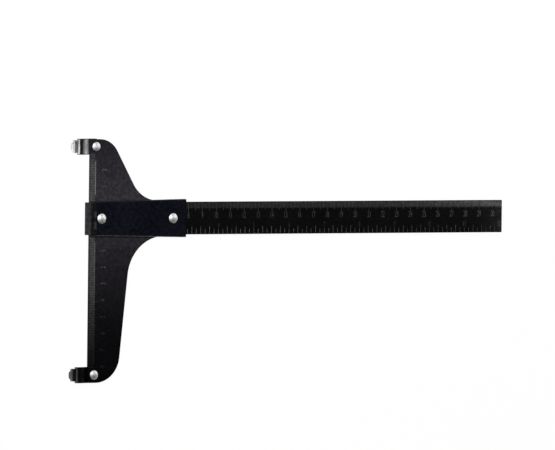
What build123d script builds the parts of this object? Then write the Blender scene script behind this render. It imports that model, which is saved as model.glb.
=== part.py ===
from build123d import *
import os
from math import acos, asin, atan2, cos, degrees, hypot, radians, sin, tan

# Bow square: a T-shaped rule that snaps on a bowstring.
# The origin is the zero of both rules: the middle of the string, level with the middle of the blade.
# +X runs along the blade away from the string, +Y up the string along the short arm, and +Z out of
# the printed face. All sizes are in millimetres.

# Sheet thicknesses and how the plates lie over each other
head_t = 1.2            # head plate
blade_t = 1.2           # blade, on the head plate
sleeve_t = 0.5          # folded sleeve, over the blade
clip_t = 0.5            # spring strap, under the head plate
string_to_back = 0.6    # the head plate's back lies this far below the middle of the string

# Head plate
edge_to_string = 10.2   # the string edge stands off the middle of the string
upper_reach = 48.0      # blade's middle to the end of the upper arm
lower_reach = 99.3      # blade's middle to the end of the lower arm
upper_tip_w = 15.3      # arm widths, where the slanted side meets the end
lower_tip_w = 20.7
upper_root_w = 37.0     # arm widths, where the slanted side meets the tongue
lower_root_w = 30.1
tongue_w = 21.6
tongue_l = 66.0         # string edge to the tongue's end
upper_tip_r = 14.0
lower_tip_r = 17.0
upper_root_r = 20.0
lower_root_r = 25.8
edge_corner_r = 0.8     # corners of the string edge
edge_round_r = 0.2      # front edges of the outline

# Blade
blade_w = 19.8
blade_l = 300.0
blade_overhang = 3.4    # reach past the head's string edge
blade_corner_r = 0.5
blade_round_r = 0.3     # front edges, under the sleeve's folds

# Folded sleeve
sleeve_setback = 0.5    # from the head's string edge
sleeve_l = 67.4
fold_gap = 0.05         # between a skirt and what it wraps
skirt_step = 53.4       # sleeve's near end to where the skirts drop past the tongue
skirt_step_r = 0.8

# Spring clips
clip_w = 9.7
upper_clip_inset = 4.5  # from the arm's end to the middle of the clip
lower_clip_inset = 4.8
string_d = 2.5          # string that the seat grips
seat_wrap = 20.0        # degrees that the seat wraps past a half circle, on each side
crest_r = 0.6           # inside radius of the bends beside the seat
arch_r = 14.0           # outside radius of the long bow from the seat down to the heel
heel_r = 1.5            # inside radius of the bend beside the head plate
heel_gap = 0.5          # between the head's edge and the start of that bend
lip_slope = 35.0        # degrees that the lip falls away from the string
lip_w = 7.7
lip_reach = 3.8         # middle of the string to the lip's end
shoulder_x = 1.6        # middle of the string to where the strap widens

# Rivets
rivet_d = 3.2
rivet_fit = 0.05        # radial play in each rivet hole
dome_d = 6.4
dome_h = 1.7
dome_rim_h = 0.25
tail_d = 4.8
tail_h = 0.8
tail_round_r = 0.25
clip_rivet_x = 14.2
near_rivet_x = 17.6
far_rivet_x = 68.6

# Engraved graduations
mark_w = 0.22
mark_depth = 0.1
mark_inset = 0.4        # from the plate's edge to the start of each mark
mm_mark = 3.6           # lengths of the blade's metric marks
half_cm_mark = 4.8
cm_mark = 6.0
eighth_mark = 2.9       # lengths of the blade's inch marks
quarter_mark = 4.4
blade_scale_gap = 1.5   # free length past the blade's last marks
head_mm_mark = 3.3      # lengths of the head plate's marks
head_half_mark = 5.9
head_cm_mark = 7.5
head_scale_gap = 9.0    # free length past the head plate's last marks
inch = 25.4

cut_reach = 10.0        # cutting shapes run this far past what they cut

# Places that follow from the sizes above
head_back = -string_to_back
head_front = head_back + head_t
blade_front = head_front + blade_t
sleeve_front = blade_front + sleeve_t
head_x = edge_to_string
blade_x = head_x - blade_overhang
blade_end = blade_x + blade_l
sleeve_x = head_x + sleeve_setback
sleeve_end = sleeve_x + sleeve_l
fold_r = sleeve_t + blade_round_r
upper_clip_y = upper_reach - upper_clip_inset
lower_clip_y = lower_clip_inset - lower_reach


def slab(outline, bottom, top):
    """Solid between two heights, from a flat outline."""
    return Pos(0, 0, bottom) * extrude(outline, top - bottom, dir=(0, 0, 1))


def rounded_slab(outline, bottom, top, radius):
    """Slab with the edges of its upper face rounded."""
    body = slab(outline, bottom, top)
    return fillet(body.faces().sort_by(Axis.Z)[-1].edges(), radius)


def rivet_holes(places):
    """Upright cylinders that clear the rivets at these places."""
    return [Pos(x, y, 0) * Cylinder(rivet_d / 2 + rivet_fit, 2 * cut_reach) for x, y in places]


def mark_grooves(marks, face):
    """Grooves for marks, each given by its middle and its size in X and Y."""
    outline = Sketch() + [Pos(x, y) * Rectangle(dx, dy) for x, y, dx, dy in marks]
    return slab(outline, face - mark_depth, face + cut_reach)


def by_step(step, long, middle, short):
    """Length of a mark on a scale that counts in tens and fives."""
    return long if step % 10 == 0 else middle if step % 5 == 0 else short


def head_marks():
    """Millimetre marks along the string edge, counted up and down from the blade's edges."""
    marks = []
    for side, reach in ((1, upper_reach), (-1, lower_reach)):
        count = int(reach - blade_w / 2 - head_scale_gap)
        for step in range(1, count + 1):
            length = by_step(step, head_cm_mark, head_half_mark, head_mm_mark)
            x = head_x + mark_inset + length / 2
            marks.append((x, side * (blade_w / 2 + step), length, mark_w))
    return [mark for mark in marks if abs(mark[1]) > sleeve_half_width(0) + mark_w]


def blade_marks():
    """Centimetre marks on the upper edge and inch marks on the lower one, past the sleeve."""
    edge = blade_w / 2 - mark_inset
    last = blade_end - blade_scale_gap
    marks = []
    for step in range(1, int(last) + 1):
        length = by_step(step, cm_mark, half_cm_mark, mm_mark)
        marks.append((step, edge - length / 2, mark_w, length))
    for step in range(1, 8 * int(last / inch) + 1):
        length = quarter_mark if step % 2 == 0 and step % 8 else eighth_mark
        marks.append((step * inch / 8, length / 2 - edge, mark_w, length))
    return [mark for mark in marks if mark[0] > sleeve_end + mark_w]


def sleeve_half_width(along):
    """Outside half width of the sleeve, at a distance from its near end.

    The skirts hug the blade at the near end, and they clear the wider tongue where they drop past it.
    """
    spread = (max(tongue_w, blade_w) - blade_w) / 2
    return blade_w / 2 + fold_gap + sleeve_t + spread * along / skirt_step


def make_head_plate():
    bottom_x, top_x = head_x + lower_tip_w, head_x + upper_tip_w
    outline = Polygon(
        (head_x, upper_reach), (top_x, upper_reach), (head_x + upper_root_w, tongue_w / 2),
        (head_x + tongue_l, tongue_w / 2), (head_x + tongue_l, -tongue_w / 2),
        (head_x + lower_root_w, -tongue_w / 2), (bottom_x, -lower_reach), (head_x, -lower_reach),
        align=None)
    corners = {
        (top_x, upper_reach): upper_tip_r,
        (head_x + upper_root_w, tongue_w / 2): upper_root_r,
        (head_x + lower_root_w, -tongue_w / 2): lower_root_r,
        (bottom_x, -lower_reach): lower_tip_r,
        (head_x, upper_reach): edge_corner_r,
        (head_x, -lower_reach): edge_corner_r,
    }
    for (x, y), radius in corners.items():
        corner = outline.vertices().sort_by_distance((x, y, 0))[0]
        outline = fillet(corner, radius)
    places = [(near_rivet_x, 0), (far_rivet_x, 0), (clip_rivet_x, upper_clip_y), (clip_rivet_x, lower_clip_y)]
    plate = rounded_slab(outline, head_back, head_front, edge_round_r)
    return plate - rivet_holes(places) - mark_grooves(head_marks(), head_front)


def make_blade():
    outline = Pos(blade_x + blade_l / 2, 0) * RectangleRounded(blade_l, blade_w, blade_corner_r)
    places = [(near_rivet_x, 0), (far_rivet_x, 0)]
    rule = rounded_slab(outline, head_front, blade_front, blade_round_r)
    return rule - rivet_holes(places) - mark_grooves(blade_marks(), blade_front)


def channel(inset, top, radius):
    """Tapered bar with its two long top edges rounded, running past both ends when it is inset."""
    start, end = -inset, sleeve_l + inset
    near, far = sleeve_half_width(start) - inset, sleeve_half_width(end) - inset
    outline = Polygon((start, near), (end, far), (end, -far), (start, -near), align=None)
    bar = Pos(sleeve_x, 0, 0) * slab(outline, head_back, top)
    long_edges = bar.faces().sort_by(Axis.Z)[-1].edges().sort_by(SortBy.LENGTH)[-2:]
    return fillet(long_edges, radius)


def make_sleeve():
    """Sheet folded down on both sides. The skirts stand on the head plate, then drop past its tongue."""
    step_x = sleeve_x + skirt_step
    side = Polygon(
        (sleeve_x, head_front), (step_x, head_front), (step_x, head_back), (sleeve_end, head_back),
        (sleeve_end, sleeve_front), (sleeve_x, sleeve_front), align=None)
    for point in ((step_x, head_back), (sleeve_end, head_back)):
        corner = side.vertices().sort_by_distance((*point, 0))[0]
        side = fillet(corner, skirt_step_r)
    width = 2 * sleeve_half_width(sleeve_l)
    silhouette = extrude(Plane.XZ * side, width, both=True)
    sheet = channel(0, sleeve_front, fold_r) - channel(sleeve_t, blade_front, fold_r - sleeve_t)
    return (sheet & silhouette) - rivet_holes([(near_rivet_x, 0), (far_rivet_x, 0)])


def clip_section():
    """Edge-on outline of the bent strap, in X and height, from its line on the string's side."""
    seat_r = string_d / 2
    bend_r = crest_r + clip_t
    wrap = radians(seat_wrap)
    reach = seat_r + bend_r
    crest_x, crest_z = reach * cos(wrap), reach * sin(wrap)
    heel_x, heel_z = head_x - heel_gap, head_back + heel_r
    run, rise = heel_x - crest_x, heel_z - crest_z
    crest_to_arch, heel_to_arch, crest_to_heel = arch_r - bend_r, arch_r + heel_r, hypot(run, rise)
    swing = acos((crest_to_arch**2 + crest_to_heel**2 - heel_to_arch**2) / (2 * crest_to_arch * crest_to_heel))
    bearing = atan2(rise, run) - swing
    arch_x, arch_z = crest_x + crest_to_arch * cos(bearing), crest_z + crest_to_arch * sin(bearing)
    arch_start = degrees(atan2(heel_z - arch_z, heel_x - arch_x))
    arch_end = degrees(bearing) + 180
    heel = CenterArc((heel_x, heel_z), heel_r, -90, arch_start - 90)
    arch = CenterArc((arch_x, arch_z), arch_r, arch_start, arch_end - arch_start)
    near_crest = CenterArc((crest_x, crest_z), bend_r, arch_end, 180 + seat_wrap - arch_end)
    seat = CenterArc((0, 0), seat_r, seat_wrap, -180 - 2 * seat_wrap)
    far_crest = CenterArc((-crest_x, crest_z), bend_r, -seat_wrap, 90 + seat_wrap + lip_slope)
    lip_start = far_crest @ 1
    lip_run = lip_start.X + lip_reach
    lip_end = (-lip_reach, lip_start.Y - lip_run * tan(radians(lip_slope)))
    line = Wire([
        Line((clip_rivet_x + clip_w / 2, head_back), heel @ 0), heel, arch, near_crest, seat, far_crest,
        Line(lip_start, lip_end)])
    return make_face(offset(line, clip_t, side=Side.LEFT))


def make_clip(middle_y):
    """Strap with the string seat rolled into it, a round end under the plate and a round lip."""
    strap = extrude(Plane.XZ * clip_section(), clip_w, both=True)
    body_l = clip_rivet_x - shoulder_x
    body = Pos(clip_rivet_x, 0) * Circle(clip_w / 2)
    body += Pos(clip_rivet_x - body_l / 2, 0) * Rectangle(body_l, clip_w)
    lip_x = lip_w / 2 - lip_reach
    lip = Pos(lip_x, 0) * Circle(lip_w / 2)
    lip += Pos((lip_x + clip_rivet_x) / 2, 0) * Rectangle(clip_rivet_x - lip_x, lip_w)
    plan = slab(body + lip, -cut_reach, cut_reach)
    return Pos(0, middle_y, 0) * (strap & plan) - rivet_holes([(clip_rivet_x, middle_y)])


def make_rivet(x, y, under_head, over_tail):
    """Dome-head rivet clinched between two faces."""
    dome_r = ((dome_d / 2) ** 2 + (dome_h - dome_rim_h) ** 2) / (2 * (dome_h - dome_rim_h))
    dome_mid = under_head + dome_h - dome_r
    half_angle = degrees(asin(dome_d / 2 / dome_r))
    tail_end = over_tail - tail_h
    rim = under_head + dome_rim_h
    shape = Polygon(
        (0, tail_end), (tail_d / 2, tail_end), (tail_d / 2, over_tail), (rivet_d / 2, over_tail),
        (rivet_d / 2, under_head), (dome_d / 2, under_head), (dome_d / 2, rim), (0, rim), align=None)
    tail_corner = shape.vertices().sort_by_distance((tail_d / 2, tail_end, 0))[0]
    shape = fillet(tail_corner, tail_round_r)
    cap = CenterArc((0, dome_mid), dome_r, 90 - half_angle, half_angle)
    cap = make_face([cap, Line(cap @ 1, (0, rim)), Line((0, rim), cap @ 0)])
    return Pos(x, y, 0) * revolve(Plane.XZ * (shape + cap), Axis.Z)


parts = {
    "head_plate": make_head_plate(),
    "blade": make_blade(),
    "sleeve": make_sleeve(),
    "upper_clip": make_clip(upper_clip_y),
    "lower_clip": make_clip(lower_clip_y),
    "upper_clip_rivet": make_rivet(clip_rivet_x, upper_clip_y, head_front, head_back - clip_t),
    "lower_clip_rivet": make_rivet(clip_rivet_x, lower_clip_y, head_front, head_back - clip_t),
    "sleeve_rivet_near": make_rivet(near_rivet_x, 0, sleeve_front, head_back),
    "sleeve_rivet_far": make_rivet(far_rivet_x, 0, sleeve_front, head_back),
}

os.makedirs("parts", exist_ok=True)
for name, shape in parts.items():
    export_step(shape, f"parts/{name}.step")
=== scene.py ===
from math import cos, pi, radians, sin

import bpy
from mathutils import Matrix, Vector


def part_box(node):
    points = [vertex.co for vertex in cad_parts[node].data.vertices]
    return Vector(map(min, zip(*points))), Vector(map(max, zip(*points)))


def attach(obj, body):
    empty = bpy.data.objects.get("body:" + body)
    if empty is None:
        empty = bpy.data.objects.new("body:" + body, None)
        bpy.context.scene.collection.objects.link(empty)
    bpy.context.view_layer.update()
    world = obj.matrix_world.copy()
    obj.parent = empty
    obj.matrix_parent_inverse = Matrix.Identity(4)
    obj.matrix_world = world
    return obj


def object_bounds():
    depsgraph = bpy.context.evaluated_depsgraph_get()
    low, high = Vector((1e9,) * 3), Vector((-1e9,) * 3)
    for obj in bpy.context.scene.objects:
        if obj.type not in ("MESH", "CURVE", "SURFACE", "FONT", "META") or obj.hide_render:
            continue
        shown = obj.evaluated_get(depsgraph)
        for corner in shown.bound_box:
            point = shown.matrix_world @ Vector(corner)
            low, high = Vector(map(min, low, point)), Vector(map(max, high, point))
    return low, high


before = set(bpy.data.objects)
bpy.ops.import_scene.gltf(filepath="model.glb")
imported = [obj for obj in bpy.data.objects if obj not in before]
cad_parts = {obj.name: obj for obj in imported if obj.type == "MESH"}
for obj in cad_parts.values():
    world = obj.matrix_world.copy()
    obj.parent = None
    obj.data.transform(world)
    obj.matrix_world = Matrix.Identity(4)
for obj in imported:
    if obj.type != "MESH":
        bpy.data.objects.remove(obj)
cad_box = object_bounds()


def box_mm(node):
    """Lowest and highest corner of a CAD node, in millimetres."""
    low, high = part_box(node)
    return low * 1000, high * 1000


# Faces and edges of the CAD nodes, in millimetres
HEAD_EDGE = box_mm("head_plate")[0].x
HEAD_FRONT = box_mm("head_plate")[1].z
BLADE_HALF = box_mm("blade")[1].y
BLADE_FRONT = box_mm("blade")[1].z
SLEEVE_FRONT = box_mm("sleeve")[1].z
MARK_DEPTH = 0.1            # of the graduations engraved in the solids
# The clips' dark edges are painted shade.
EDGE_SHADE = 0.5               # width of the clips' dark edges

# Printed numbers, lines and strokes, in millimetres
PRINT = 0.012               # they stand this far off the metal
INCH = 25.4
CENTIMETRE = 10.0
CENTIMETRE_TALL = 3.6
CENTIMETRE_FOOT = 10.0      # below the blade's upper edge
INCH_TALL = 3.3
INCH_FOOT = 3.8             # above the blade's lower edge
HEAD_TALL = 3.3
HEAD_FOOT = 11.7            # away from the head's string edge
HEAD_SHIFT = 0.5            # the head's numbers stand this much nearer the blade than their marks
BLADE_SQUEEZE = 0.54        # width of the figures as a share of the font's
HEAD_SQUEEZE = 0.75
FIGURE_STEPS = 3            # straight runs in each curve of a figure
LINE_PLACE = 4.0            # away from the head's string edge
LINE_WIDTH = 0.3
LINE_SPANS = ((14.5, 34.5), (-88.0, -14.6))     # along Y, on the short and the long arm
STROKE_SIDES = (12.45, 14.15)                   # along X
STROKE_SPANS = ((0.6, 4.2), (-6.5, -1.9))       # along Y

# Noise in the finishes, in cells per metre
CLOUDS = 60.0               # slow changes of shade and gloss in the anodised sheets
ENAMEL_CLOUDS = 45.0
STRAP_SPOTS = 320.0
RIPPLE = 420.0              # unevenness of the enamel
MOTTLE = 480.0              # fine spots in the black faces
DENTS = 700.0               # in the rivets' heads
MARK_GAPS = 900.0           # thin places in the paint of the graduations
PRINT_GAPS = 1100.0         # thin places in the printed pieces
PRINT_GLOSS = 2400.0
RIVET_GLOSS = 2600.0
PITS = 5200.0               # skin of the anodised sheets
STREAK_LAYERS = 900.0       # streaks, counted along Z

# Colour of the rivets
DENT_SHADE = 0.05           # their dents are darker or lighter by this much

# Painted highlights and shade of the clips by X in millimetres, standing in for their reflections, from the
# lip over the seat and down to the heel; the lower clip is painted much darker
UPPER_PAINTED_LIGHT = (
    (-3.8, 0.50), (-2.8, 0.58), (-2.2, 1.0), (-1.2, 0.95), (-0.6, 0.16),
    (0.9, 0.20), (1.4, 0.62), (1.9, 0.62), (2.35, 0.02), (4.0, 0.01),
    (5.2, 0.16), (6.4, 0.30), (7.6, 0.70), (9.2, 1.0), (9.7, 0.10))
LOWER_PAINTED_LIGHT = (
    (-3.8, 0.16), (-2.6, 0.18), (-1.8, 0.34), (-1.2, 0.05), (1.2, 0.03),
    (1.5, 0.12), (2.0, 0.10), (2.5, 0.004), (9.7, 0.004))

# Camera: the picture, the scale's zero in it, the angles and the lens
IMAGE = (555, 450)
PX_PER_MM = 1.657           # along the head
ZERO_PX = (75.9, 218.8)
ZERO_HEIGHT = 1.4           # millimetres, between the faces of the head and of the sleeve
TURN = radians(32.45)       # about the string, which shortens the blade as in the photograph
RISE = radians(1.6)         # toward the short arm
ROLL = radians(0.63)        # about the line of sight
DISTANCE = 11.0             # metres
SENSOR = 36.0               # millimetres
FAR_CLIP = 200.0            # metres

# Floor, in metres where it is a size
FLOOR_HALF = 6.0
FLOOR_GAP = 0.00005         # under the rivets' tails, on which the tool lies
FLOOR_GLOW = 1.02           # this and the lit rest of the floor come to white
GLOW_SHARE = 0.96           # the rest is lit by the lamps and keeps the shadow


# Node trees
class Tree:
    """The nodes of a material or a world, with short ways to add and join them."""

    def __init__(self, owner):
        owner.use_nodes = True
        self.nodes = owner.node_tree.nodes
        self.links = owner.node_tree.links

    def add(self, kind, settings=(), **inputs):
        """New node. Inputs are values or sockets, named by their label or by _ and their index."""
        node = self.nodes.new("ShaderNode" + kind)
        for key, value in dict(settings).items():
            setattr(node, key, value)
        for key, value in inputs.items():
            socket = node.inputs[int(key[1:]) if key[1:].isdigit() else key.replace("_", " ")]
            if isinstance(value, bpy.types.NodeSocket):
                self.links.new(value, socket)
            else:
                socket.default_value = value
        return node

    def math(self, operation, *values):
        """Result of an operation on plain values or sockets."""
        inputs = {f"_{index}": value for index, value in enumerate(values)}
        return self.add("Math", {"operation": operation}, **inputs).outputs[0]

    def product(self, first, *others):
        """All of these values multiplied."""
        for other in others:
            first = self.math("MULTIPLY", first, other)
        return first

    def ranged(self, value, low, high, start=0.0, end=1.0):
        """Value that runs from low to high as another one runs from start to end."""
        inputs = {"From_Min": start, "From_Max": end, "To_Min": low, "To_Max": high}
        return self.add("MapRange", Value=value, **inputs).outputs[0]


class Surface(Tree):
    """A Principled material, with values that follow its place in the object."""

    def __init__(self, name, **fixed):
        self.material = bpy.data.materials.new(name)
        super().__init__(self.material)
        self.shader = self.nodes["Principled BSDF"]
        for socket, value in fixed.items():
            self.shader.inputs[socket.replace("_", " ")].default_value = value
        self.place = self.add("TexCoord").outputs["Object"]

    def noise(self, scale, low=0.0, high=1.0, place=None, detail=3.0):
        """Noise of this many cells per metre, from low to high."""
        node = self.add("TexNoise", Vector=place or self.place, Scale=scale, Detail=detail)
        return self.ranged(node.outputs[0], low, high, start=0.3, end=0.7)

    def streaks(self, along, across, detail):
        """Noise drawn out along X, with this many cells per metre along and across it."""
        scale = (along, across, STREAK_LAYERS)
        drawn = self.add("Mapping", Vector=self.place, Scale=scale).outputs[0]
        return self.noise(1.0, place=drawn, detail=detail)

    def ramp(self, axis, start, end, low=0.0, high=1.0):
        """Value that runs from low to high between two places on an axis, in millimetres."""
        along = self.add("SeparateXYZ", _0=self.place).outputs[axis]
        return self.ranged(along, low, high, start / 1000, end / 1000)

    def levels(self, axis, stops):
        """Value that runs through these stops along an axis, each a place in millimetres and a level."""
        start, end = stops[0][0], stops[-1][0]
        node = self.add("ValToRGB", _0=self.ramp(axis, start, end))
        points = node.color_ramp.elements
        while len(points) < len(stops):
            points.new(0.5)
        for point, (place, level) in zip(points, stops):
            point.position = (place - start) / (end - start)
            point.color = (level, level, level, 1)
        return node.outputs[0]

    def band(self, axis, start, end, edge=0.2):
        """1 between two places on an axis, with soft ends, in millimetres."""
        rise = self.ramp(axis, start - edge, start + edge)
        return self.product(rise, self.ramp(axis, end - edge, end + edge, 1.0, 0.0))

    def outside(self, middle, radius, edge=0.1):
        """0 inside this radius round an upright axis and 1 outside it, in millimetres, with a soft edge."""
        axis = (middle.x / 1000, middle.y / 1000, 0)
        moved = self.add("Mapping", {"vector_type": "TEXTURE"}, Vector=self.place, Location=axis)
        plan = self.add("VectorMath", {"operation": "MULTIPLY"}, _0=moved.outputs[0], _1=(1, 1, 0))
        distance = self.add("VectorMath", {"operation": "LENGTH"}, _0=plan.outputs[0]).outputs["Value"]
        return self.ranged(distance, 0.0, 1.0, (radius - edge) / 1000, (radius + edge) / 1000)

    def facing(self, axis, start, end, low=0.0, high=1.0):
        """Value that runs from low to high as the surface turns toward an axis."""
        normal = self.add("NewGeometry").outputs["Normal"]
        turned = self.add("SeparateXYZ", _0=normal).outputs[axis]
        return self.ranged(turned, low, high, start, end)

    def grooves(self, front):
        """1 on the floors of the graduations in a face at this height, 0 elsewhere."""
        height = self.add("SeparateXYZ", _0=self.place).outputs["Z"]
        sunk = self.math("COMPARE", height, (front - MARK_DEPTH) / 1000, MARK_DEPTH / 3 / 1000)
        return self.product(sunk, self.facing("Z", 0.89, 0.9))

    def grey(self, level):
        """Grey of this level."""
        return self.add("CombineColor", Red=level, Green=level, Blue=level).outputs[0]

    def mix(self, share, first, second):
        """Colour between two colours or sockets. At a share of 1 it is the second."""
        node = self.add("Mix", {"data_type": "RGBA"}, _0=share)
        for socket, color in zip(node.inputs[6:8], (first, second)):
            if isinstance(color, bpy.types.NodeSocket):
                self.links.new(color, socket)
            else:
                socket.default_value = (*color, 1)
        return node.outputs[2]

    def mottled(self, color, depth):
        """Colour with fine uneven spots, lighter and darker by up to this share."""
        factor = self.noise(MOTTLE, 1.0 - depth, 1.0 + depth)
        return self.add("VectorMath", {"operation": "SCALE"}, _0=color, Scale=factor).outputs[0]

    def bump(self, height, microns, under=None):
        """Normal of a relief this deep, laid over another relief's normal where one is given."""
        below = {"Normal": under} if under else {}
        return self.add("Bump", Height=height, Distance=microns / 1e6, **below).outputs[0]

    def finish(self, color, roughness, normal=None):
        """Joins these to the shader and returns the material."""
        self.links.new(color, self.shader.inputs["Base Color"])
        self.links.new(roughness, self.shader.inputs["Roughness"])
        if normal:
            self.links.new(normal, self.shader.inputs["Normal"])
        return self.material


# Finishes of the metal parts
def blotchy(surface, grain, dark, light):
    """Metal between two shades, with the rolling grain showing through in patches."""
    return surface.mix(surface.product(grain, surface.noise(CLOUDS)), dark, light)


def anodised(surface, front, metal, grain, paint_level, spots, roughness):
    """Mottled satin skin in the metal's colour, with paint in the graduations of the face."""
    paint = surface.grey(surface.product(surface.noise(MARK_GAPS, 0.7, 1.3), paint_level))
    color = surface.mix(surface.grooves(front), surface.mottled(metal, spots), paint)
    uneven = surface.noise(CLOUDS, roughness - 0.04, roughness + 0.05)
    pitted = surface.bump(surface.noise(PITS), microns=4.0)
    return surface.finish(color, uneven, surface.bump(grain, microns=2.0, under=pitted))


def head_finish():
    """Faintly purple black with painted light brightest beside the blade, and pale between the string edge
    and the line.
    """
    surface = Surface("head_anodised", Specular_IOR_Level=0.07)
    grain = surface.streaks(260, 3000, detail=4.0)
    black = blotchy(surface, grain, (0.0010, 0.0007, 0.0012), (0.0024, 0.0017, 0.0027))
    painted_lit_black = blotchy(surface, grain, (0.038, 0.034, 0.0435), (0.0515, 0.047, 0.059))
    pale_grey = blotchy(surface, grain, (0.060, 0.060, 0.062), (0.080, 0.080, 0.082))
    # Painted light: the black is lit most beside the blade and darkens toward the arms' ends, most down the
    # long arm.
    painted_falloff = surface.levels("Y", (
        (-97, 0.0), (-75, 0.04), (-60, 0.11), (-45, 0.23), (-30, 0.38),
        (-20, 0.53), (-12, 0.80), (13, 1.0), (28, 0.70), (45, 0.46)))
    line = HEAD_EDGE + LINE_PLACE
    strip = surface.product(
        surface.band("X", HEAD_EDGE + 0.3, line - 0.1),
        surface.band("Y", -90.0, 34.5, edge=2.0))
    # Painted light on the pale band, dimming down the long arm.
    painted_light = surface.levels("Y", ((-85, 0.04), (-60, 0.29), (-30, 0.85), (40, 0.85)))
    metal = surface.mix(painted_falloff, black, painted_lit_black)
    metal = surface.mix(surface.product(strip, painted_light), metal, pale_grey)
    # The paint in the graduations dims down the long arm as painted light falloff.
    paint_level = surface.product(
        surface.ramp("Y", -80.0, -45.0, 0.03, 0.17),
        surface.ramp("X", line + 0.1, line + 0.7, 1.0, 0.30))
    return anodised(surface, HEAD_FRONT, metal, grain, paint_level, spots=0.35, roughness=0.50)


def blade_finish():
    """Black, paler at the end by the string, with a pale band along the upper edge and painted sheen toward
    the far end.
    """
    surface = Surface("blade_anodised", Specular_IOR_Level=0.07)
    grain = surface.streaks(120, 5200, detail=4.0)
    black = blotchy(surface, grain, (0.0024, 0.0024, 0.0028), (0.0044, 0.0044, 0.0050))
    sheen_grey = blotchy(surface, grain, (0.0160, 0.0160, 0.0170), (0.0240, 0.0240, 0.0250))
    pale_grey = blotchy(surface, grain, (0.117, 0.120, 0.126), (0.168, 0.171, 0.177))
    # Painted sheen that lightens the far end of the blade.
    painted_end_sheen = surface.levels("X", ((270, 0.0), (290, 0.08), (298, 0.5), (307, 1.0)))
    below_edge = ((4.6, 0.0), (3.2, 0.85), (0.5, 1.25), (0.2, 0.0))
    strip = surface.levels("Y", [(BLADE_HALF - below, level) for below, level in below_edge])
    # Painted sheen over the pale band by the upper edge, growing toward the far end.
    painted_light = surface.levels("X", (
        (85, 0.028), (132, 0.11), (185, 0.16), (230, 0.24), (250, 0.35),
        (264, 0.55), (280, 0.63), (290, 0.83), (300, 1.1)))
    string_end = surface.ramp("X", 10.4, 11.4, 0.31, 0.0)
    metal = surface.mix(painted_end_sheen, black, sheen_grey)
    metal = surface.mix(string_end, metal, pale_grey)
    metal = surface.mix(surface.product(strip, painted_light), metal, pale_grey)
    centimetres = surface.ramp("X", 80.0, 307.0, 0.18, 0.20)
    inches = surface.ramp("X", 80.0, 307.0, 0.44, 0.28)
    paint_level = surface.ranged(surface.ramp("Y", -0.5, 0.5), inches, centimetres)
    return anodised(surface, BLADE_FRONT, metal, grain, paint_level, spots=0.5, roughness=0.40)


def enamel():
    """Blue black enamel with a faint ripple and hairlines, and a painted highlight mostly on the sleeve's
    lower fold.
    """
    surface = Surface("sleeve_enamel", Specular_IOR_Level=0.07, Coat_Weight=0.05, Coat_Roughness=0.1)
    cloud = surface.noise(ENAMEL_CLOUDS)
    color = surface.mix(cloud, (0.0024, 0.0030, 0.0074), (0.0064, 0.0070, 0.0126))
    # Painted highlight along the sleeve's folds, mostly the lower one, in a pale steel grey.
    fold = surface.product(surface.facing("Z", 0.1, 0.35), surface.facing("Z", 0.8, 0.95, 1.0, 0.0))
    painted_light = surface.product(fold, surface.facing("Y", -0.1, 0.1, 1.0, 0.05))
    fold_highlight = (0.22, 0.22, 0.23)
    color = surface.mix(painted_light, color, fold_highlight)
    string_end = surface.ramp("X", 11.0, 15.0, 1.0, 0.0)
    plain_black = (0.012, 0.012, 0.013)
    color = surface.mix(string_end, color, plain_black)
    hairlines = surface.streaks(90, 5200, detail=2.0)
    ripple = surface.bump(surface.noise(RIPPLE, detail=1.0), microns=8.0)
    normal = surface.bump(hairlines, microns=1.5, under=ripple)
    return surface.finish(surface.mottled(color, 0.7), surface.ranged(hairlines, 0.28, 0.38), normal)


def spring_steel(name, node, painted_levels):
    """Satin strap, drawn along its length, with painted highlights and shade from lip to heel, across its
    width and at its edges.
    """
    surface = Surface(name, Metallic=0.6, Specular_IOR_Level=0.1)
    low, high = box_mm(node)
    drawn = surface.streaks(200, 2600, detail=1.0)
    spots = surface.noise(STRAP_SPOTS, 0.9, 1.0)
    # Painted shade along the strap's edges.
    strap = surface.band("Y", low.y + EDGE_SHADE, high.y - EDGE_SHADE, edge=0.3)
    edge_shade = surface.ranged(strap, 0.25, 1.0)
    # Painted light, brighter toward the strap's lower side.
    painted_falloff = surface.ramp("Y", low.y, high.y, 1.3, 0.75)
    shade = surface.product(spots, surface.levels("X", painted_levels), edge_shade, painted_falloff)
    roughness = surface.ranged(drawn, 0.34, 0.40)
    return surface.finish(surface.grey(shade), roughness, surface.bump(drawn, microns=0.2))


def rivet_metal(node, dome_color, core):
    """Bright drawn dome, dented by the setting tool, with painted shade round its rim outside this radius.
    """
    surface = Surface(node + "_metal", Metallic=1.0)
    low, high = box_mm(node)
    dents = surface.noise(DENTS)
    darker = [level - DENT_SHADE for level in dome_color]
    lighter = [level + DENT_SHADE for level in dome_color]
    # Painted shade round the rim, standing in for the dark plate that the rim reflects.
    painted_rim_shade = (0.03, 0.03, 0.032)
    rim = surface.outside((low + high) / 2, core)
    color = surface.mix(rim, surface.mix(dents, darker, lighter), painted_rim_shade)
    roughness = surface.noise(RIVET_GLOSS, 0.50, 0.60)
    return surface.finish(color, roughness, surface.bump(dents, microns=10.0))


def print_paint(name, axis, *stops):
    """Thin grey print, worn unevenly, with its shade set by stops along an axis."""
    surface = Surface(name, Specular_IOR_Level=0.2)
    shade = surface.product(surface.noise(PRINT_GAPS, 0.6, 1.4), surface.levels(axis, stops))
    return surface.finish(surface.grey(shade), surface.noise(PRINT_GLOSS, 0.5, 0.7))


def dress(node, material):
    """Gives a CAD node its material."""
    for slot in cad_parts[node].material_slots:
        slot.material = material


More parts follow.
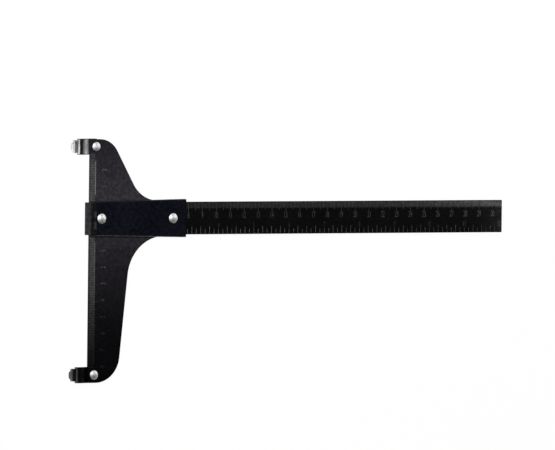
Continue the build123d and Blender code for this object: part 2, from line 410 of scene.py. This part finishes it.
dress("head_plate", head_finish())
dress("blade", blade_finish())
dress("sleeve", enamel())
dress("upper_clip", spring_steel("upper_spring_steel", "upper_clip", UPPER_PAINTED_LIGHT))
dress("lower_clip", spring_steel("lower_spring_steel", "lower_clip", LOWER_PAINTED_LIGHT))
for clip_rivet in ("upper_clip_rivet", "lower_clip_rivet"):
    dress(clip_rivet, rivet_metal(clip_rivet, dome_color=(0.92, 0.92, 0.92), core=2.75))
for sleeve_rivet in ("sleeve_rivet_near", "sleeve_rivet_far"):
    dress(sleeve_rivet, rivet_metal(sleeve_rivet, dome_color=(0.95, 0.95, 0.94), core=3.0))


# Printed pieces
def number_mesh(number, height, squeeze):
    """Flat mesh of one number, centred, with its foot on the X axis."""
    curve = bpy.data.curves.new("number", "FONT")
    curve.body = str(number)
    curve.align_x = "CENTER"
    curve.resolution_u = FIGURE_STEPS
    holder = bpy.data.objects.new("number", curve)
    mesh = bpy.data.meshes.new_from_object(holder)
    bpy.data.objects.remove(holder)
    bpy.data.curves.remove(curve)
    across = [vertex.co.x for vertex in mesh.vertices]
    middle = (max(across) + min(across)) / 2
    size = height / max(vertex.co.y for vertex in mesh.vertices)
    mesh.transform(Matrix.Diagonal((size * squeeze, size, 1, 1)) @ Matrix.Translation((-middle, 0, 0)))
    return mesh


def placed(mesh, x, y, turn=0.0):
    """The mesh, turned about its foot and moved to this place."""
    mesh.transform(Matrix.Translation((x, y, 0)) @ Matrix.Rotation(turn, 4, "Z"))
    return mesh


def stroke(sides, span):
    """Flat mesh of a painted rectangle between two places on X and two on Y."""
    (left, right), (low, high) = sides, span
    mesh = bpy.data.meshes.new("stroke")
    corners = [(left, low, 0), (right, low, 0), (right, high, 0), (left, high, 0)]
    mesh.from_pydata(corners, [], [[0, 1, 2, 3]])
    return mesh


def centimetre_numbers():
    """Numbers under the blade's upper marks."""
    foot = BLADE_HALF - CENTIMETRE_FOOT
    return [
        placed(number_mesh(step, CENTIMETRE_TALL, BLADE_SQUEEZE), CENTIMETRE * step, foot)
        for step in range(8, 31)]


def inch_numbers():
    """Numbers over the blade's lower marks."""
    foot = INCH_FOOT - BLADE_HALF
    return [
        placed(number_mesh(step, INCH_TALL, BLADE_SQUEEZE), INCH * step, foot)
        for step in range(4, 13)]


def head_numbers():
    """Centimetres up and down from the blade's edges, with their feet away from the string."""
    numbers = []
    for side, last in ((1, 2), (-1, 8)):
        for step in range(1, last + 1):
            along = side * (BLADE_HALF + CENTIMETRE * step - HEAD_SHIFT)
            number = number_mesh(step, HEAD_TALL, HEAD_SQUEEZE)
            numbers.append(placed(number, HEAD_EDGE + HEAD_FOOT, along, pi / 2))
    return numbers


def head_lines():
    """The thin line that closes the millimetre marks on each arm."""
    middle = HEAD_EDGE + LINE_PLACE
    sides = (middle - LINE_WIDTH / 2, middle + LINE_WIDTH / 2)
    return [stroke(sides, span) for span in LINE_SPANS]


def sleeve_strokes():
    """Two short worn strokes beside the near rivet."""
    return [stroke(STROKE_SIDES, span) for span in STROKE_SPANS]


def join_flat(name, meshes, front, material):
    """One piece of print just off a face at this height, in millimetres, that rides with the tool."""
    height = (front + PRINT) / 1000
    points, faces = [], []
    for mesh in meshes:
        base = len(points)
        points += [(vertex.co.x / 1000, vertex.co.y / 1000, height) for vertex in mesh.vertices]
        faces += [[base + index for index in face.vertices] for face in mesh.polygons]
        bpy.data.meshes.remove(mesh)
    joined = bpy.data.meshes.new(name)
    joined.from_pydata(points, [], faces)
    joined.materials.append(material)
    piece = bpy.data.objects.new(name, joined)
    bpy.context.scene.collection.objects.link(piece)
    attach(piece, "root")


# Painted sheen: the blade's print brightens toward the far end.
join_flat(
    "centimetre_numbers", centimetre_numbers(), BLADE_FRONT,
    print_paint("centimetre_print", "X", (80, 0.06), (200, 0.062), (270, 0.085), (300, 0.12)))
join_flat(
    "inch_numbers", inch_numbers(), BLADE_FRONT,
    print_paint("inch_print", "X", (80, 0.03), (270, 0.03), (300, 0.15)))
# Painted light falloff: the head's print and line dim down the long arm.
join_flat(
    "head_numbers", head_numbers(), HEAD_FRONT,
    print_paint("head_print", "Y", (-90, 0.01), (-55, 0.03), (-35, 0.09), (0, 0.10)))
join_flat(
    "head_lines", head_lines(), HEAD_FRONT,
    print_paint("line_print", "Y", (-85, 0.02), (-60, 0.05), (-40, 0.14), (-15, 0.22), (20, 0.30)))
join_flat(
    "sleeve_strokes", sleeve_strokes(), SLEEVE_FRONT,
    print_paint("worn_print", "Y", (-7, 0.035), (4, 0.035)))


# Camera
def aim_camera():
    """A long lens at the photograph's angle, with the scale's zero on its pixel."""
    up = Vector((0, 1, 0))
    across = Vector((cos(TURN), 0, sin(TURN)))
    back = Vector((-sin(TURN), 0, cos(TURN)))
    out = back * cos(RISE) + up * sin(RISE)
    upright = up * cos(RISE) - back * sin(RISE)
    right = across * cos(ROLL) + upright * sin(ROLL)
    top = upright * cos(ROLL) - across * sin(ROLL)
    zero = Vector((0, 0, ZERO_HEIGHT / 1000))
    aside = (IMAGE[0] / 2 - ZERO_PX[0]) / PX_PER_MM
    above = (ZERO_PX[1] - IMAGE[1] / 2) / PX_PER_MM
    aim = zero + right * aside / 1000 + top * above / 1000
    data = bpy.data.cameras.new("camera")
    data.sensor_width = SENSOR
    data.lens = PX_PER_MM * 1000 * DISTANCE * SENSOR / IMAGE[0]
    data.clip_end = FAR_CLIP
    camera = bpy.data.objects.new("camera", data)
    axes = Matrix((right, top, out)).transposed().to_4x4()
    camera.matrix_world = Matrix.Translation(aim + out * DISTANCE) @ axes
    bpy.context.scene.collection.objects.link(camera)
    bpy.context.scene.camera = camera


# Studio
def floor_white():
    """Matte white that the camera and the reflections see as plain white, with a trace of shadow."""
    material = bpy.data.materials.new("floor_white")
    tree = Tree(material)
    tree.nodes.remove(tree.nodes["Principled BSDF"])
    rays = tree.add("LightPath").outputs
    seen = tree.math("MAXIMUM", rays["Is Camera Ray"], rays["Is Glossy Ray"])
    share = tree.math("MULTIPLY", seen, GLOW_SHARE)
    matte = tree.add("BsdfDiffuse", Color=(0.9, 0.9, 0.9, 1)).outputs[0]
    glow = tree.add("Emission", Strength=FLOOR_GLOW).outputs[0]
    shader = tree.add("MixShader", _0=share, _1=matte, _2=glow).outputs[0]
    tree.links.new(shader, tree.nodes["Material Output"].inputs["Surface"])
    return material


def floor():
    """Table top that the tool lies on."""
    mesh = bpy.data.meshes.new("floor")
    height = cad_box[0].z - FLOOR_GAP
    corners = ((-1, -1), (1, -1), (1, 1), (-1, 1))
    points = [(x * FLOOR_HALF, y * FLOOR_HALF, height) for x, y in corners]
    mesh.from_pydata(points, [], [[0, 1, 2, 3]])
    mesh.materials.append(floor_white())
    piece = bpy.data.objects.new("floor", mesh)
    bpy.context.scene.collection.objects.link(piece)


def studio_world():
    """White walls round a dim ceiling, weaker on the side that the long arm points to."""
    world = bpy.data.worlds.new("studio")
    bpy.context.scene.world = world
    tree = Tree(world)
    direction = tree.add("SeparateXYZ", _0=tree.add("TexCoord").outputs["Generated"]).outputs
    ceiling = tree.add("ValToRGB", _0=direction["Z"])
    ceiling.color_ramp.interpolation = "EASE"
    wall_end, ceiling_start = ceiling.color_ramp.elements
    wall_end.position = 0.03
    wall_end.color = (1, 1, 1, 1)
    ceiling_start.position = 0.30
    ceiling_start.color = (0.09, 0.09, 0.093, 1)
    background = tree.nodes["Background"].inputs
    tree.links.new(ceiling.outputs[0], background["Color"])
    strength = tree.ranged(direction["Y"], 0.25, 1.0, start=-0.6, end=0.1)
    tree.links.new(strength, background["Strength"])


def softbox(name, place, target, size, radiance):
    """Rectangular light that faces a point, set by how bright its face looks."""
    width, height = size
    data = bpy.data.lights.new(name, "AREA")
    data.shape = "RECTANGLE"
    data.size = width
    data.size_y = height
    data.energy = radiance * pi * width * height
    lamp = bpy.data.objects.new(name, data)
    lamp.location = place
    lamp.rotation_euler = (Vector(target) - Vector(place)).to_track_quat("-Z", "Y").to_euler()
    lamp.visible_camera = False
    bpy.context.scene.collection.objects.link(lamp)


aim_camera()
floor()
studio_world()
softbox("left_box", place=(-0.25, 0.20, 0.33), target=(0.0, 0.03, 0.0), size=(0.36, 0.40), radiance=4.0)
softbox("right_box", place=(0.52, 0.20, 0.20), target=(0.0, 0.04, 0.0), size=(0.43, 0.30), radiance=1.5)
softbox("arm_box", place=(0.18, 0.11, 0.24), target=(0.02, 0.03, 0.0), size=(0.14, 0.14), radiance=1.5)
bpy.context.scene.view_settings.view_transform = "Standard"
